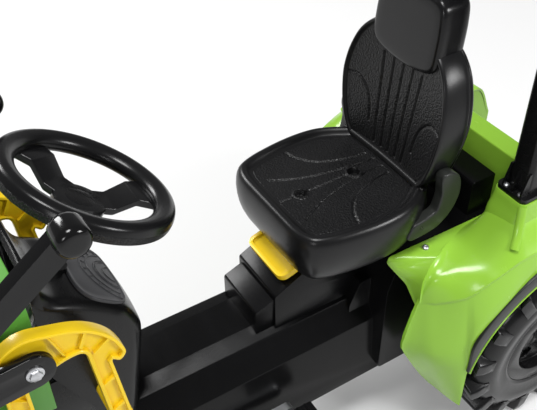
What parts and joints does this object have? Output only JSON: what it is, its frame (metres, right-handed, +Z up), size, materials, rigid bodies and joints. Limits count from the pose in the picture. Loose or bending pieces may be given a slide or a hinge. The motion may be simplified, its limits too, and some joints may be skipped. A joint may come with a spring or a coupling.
{
  "type": "ride on tractor toy",
  "caption": "Child's pedal tractor with chain drive, steered front wheels, sliding seat with latch, roll bar, opening hood and a front loader with bucket",
  "frame": {"origin": "on the ground below the middle of the overall length and width", "axes": "+X forward towards the bucket, +Y to the rider's left, +Z up"},
  "size_m": [1.577, 0.456, 0.81],
  "materials": {
    "black_plastic": "moulded, satin",
    "seat_plastic": "grained like leather, satin rim",
    "lime_plastic": "glossy lime green",
    "hood_plastic": "glossy green",
    "yellow_plastic": "glossy yellow",
    "grey_plastic": "dark grey, satin",
    "tyre_plastic": "blow-moulded black, glossy",
    "steel": "zinc plated",
    "lamp_plastic": "clear white"
  },
  "bodies": {
    "chassis": {"chassis_tunnel": "black_plastic", "seat_base": "black_plastic", "dash_console": "black_plastic", "dial_plate": "grey_plastic", "column_bush": "black_plastic", "front_frame": "black_plastic", "grille": "black_plastic", "fender_left": "lime_plastic", "fender_right": "lime_plastic", "fender_trims": "grey_plastic", "rear_panel": "lime_plastic", "roll_bar_posts": "black_plastic", "roll_bar_beam": "black_plastic", "roll_bar_screws": "steel", "deck_screws": "steel", "crank_bushes": "black_plastic", "rear_axle_bushes": "black_plastic", "chain": "steel", "front_axle_beam": "steel", "loader_brackets": "yellow_plastic", "loader_bolts": "steel", "hitch_jaw": "black_plastic"},
    "rear_drive": {"rear_axle": "steel", "rear_axle_nuts": "steel", "rear_sprocket": "steel", "rear_tyre_right": "tyre_plastic", "rear_rim_right": "black_plastic"},
    "rear_wheel_left": {"rear_tyre_left": "tyre_plastic", "rear_rim_left": "black_plastic"},
    "crank_set": {"crank": "steel", "crank_sprocket": "steel"},
    "pedal_l": {"pedal_left": "black_plastic"},
    "pedal_r": {"pedal_right": "black_plastic"},
    "steering": {"steering_wheel": "black_plastic", "steering_cap": "grey_plastic", "steering_column": "steel"},
    "knuckle_l": {"knuckle_left": "steel", "stub_nut_left": "steel"},
    "knuckle_r": {"knuckle_right": "steel", "stub_nut_right": "steel"},
    "tie": {"tie_rod": "steel"},
    "front_wheel_left": {"front_tyre_left": "tyre_plastic", "front_rim_left": "black_plastic"},
    "front_wheel_right": {"front_tyre_right": "tyre_plastic", "front_rim_right": "black_plastic"},
    "seat": {"seat_pan": "seat_plastic", "backrest": "seat_plastic", "headrest": "seat_plastic", "seat_ears": "black_plastic", "seat_screws": "steel"},
    "latch": {"seat_latch": "yellow_plastic"},
    "bonnet": {"hood": "hood_plastic", "hood_hinge_pin": "steel", "head_lamps": "lamp_plastic"},
    "loader": {"loader_arms": "black_plastic", "loader_levers": "black_plastic", "lever_grips": "black_plastic", "loader_cross_tube": "yellow_plastic", "bucket_pins": "steel"},
    "scoop": {"bucket": "black_plastic"}
  },
  "joints": [
    {"name": "rear_axle_spin", "type": "hinge", "parent": "chassis", "child": "rear_drive", "pos_m": [-0.5835, 0, 0.163], "axis": [0, 1, 0], "continuous": true},
    {"name": "rear_wheel_left_spin", "type": "hinge", "parent": "chassis", "child": "rear_wheel_left", "pos_m": [-0.5835, 0.191, 0.163], "axis": [0, 1, 0], "continuous": true},
    {"name": "crank_spin", "type": "hinge", "parent": "chassis", "child": "crank_set", "pos_m": [-0.0835, 0, 0.15], "axis": [0, 1, 0], "continuous": true},
    {"name": "pedal_left_spin", "type": "hinge", "parent": "crank_set", "child": "pedal_l", "pos_m": [-0.1675, 0.149, 0.15], "axis": [0, 1, 0], "continuous": true},
    {"name": "pedal_right_spin", "type": "hinge", "parent": "crank_set", "child": "pedal_r", "pos_m": [0.0005, -0.149, 0.15], "axis": [0, 1, 0], "continuous": true},
    {"name": "knuckle_left_turn", "type": "hinge", "parent": "chassis", "child": "knuckle_l", "pos_m": [0.24493, 0.13, 0.17], "axis": [0, 0, 1], "range_deg": [-25, 25]},
    {"name": "knuckle_right_turn", "type": "hinge", "parent": "chassis", "child": "knuckle_r", "pos_m": [0.24493, -0.13, 0.17], "axis": [0, 0, 1], "range_deg": [-25, 25]},
    {"name": "steering_turn", "type": "hinge", "parent": "chassis", "child": "steering", "pos_m": [0.0245, 0, 0.593], "axis": [-0.515, 0, 0.8572], "range_deg": [-25, 25]},
    {"name": "tie_rod_turn", "type": "hinge", "parent": "knuckle_l", "child": "tie", "pos_m": [0.18493, 0.13, 0.2095], "axis": [0, 0, 1], "range_deg": [-25, 25]},
    {"name": "front_wheel_left_spin", "type": "hinge", "parent": "knuckle_l", "child": "front_wheel_left", "pos_m": [0.24493, 0.196, 0.135], "axis": [0, 1, 0], "continuous": true},
    {"name": "front_wheel_right_spin", "type": "hinge", "parent": "knuckle_r", "child": "front_wheel_right", "pos_m": [0.24493, -0.196, 0.135], "axis": [0, 1, 0], "continuous": true},
    {"name": "seat_slide", "type": "slide", "parent": "chassis", "child": "seat", "axis": [1, 0, 0], "range_m": [0, 0.04]},
    {"name": "latch_pull", "type": "hinge", "parent": "seat", "child": "latch", "pos_m": [-0.2325, 0, 0.368], "axis": [0, -1, 0], "range_deg": [0, 12], "stiffness_Nm_per_rad": 0.3, "springref_deg": -11.46},
    {"name": "hood_open", "type": "hinge", "parent": "chassis", "child": "bonnet", "pos_m": [0.1475, 0, 0.541], "axis": [0, -1, 0], "range_deg": [0, 40]},
    {"name": "loader_lift", "type": "hinge", "parent": "chassis", "child": "loader", "pos_m": [0.1505, 0, 0.506], "axis": [0, -1, 0], "range_deg": [0, 35]},
    {"name": "bucket_tip", "type": "hinge", "parent": "loader", "child": "scoop", "pos_m": [0.5365, 0, 0.112], "axis": [0, -1, 0], "range_deg": [-45, 15]}
  ],
  "couplings": [
    {"joint": "crank_spin", "follows": "rear_axle_spin", "ratio": 0.66667},
    {"joint": "knuckle_right_turn", "follows": "knuckle_left_turn", "ratio": 1},
    {"joint": "steering_turn", "follows": "knuckle_left_turn", "ratio": 1},
    {"joint": "tie_rod_turn", "follows": "knuckle_left_turn", "ratio": -1}
  ]
}
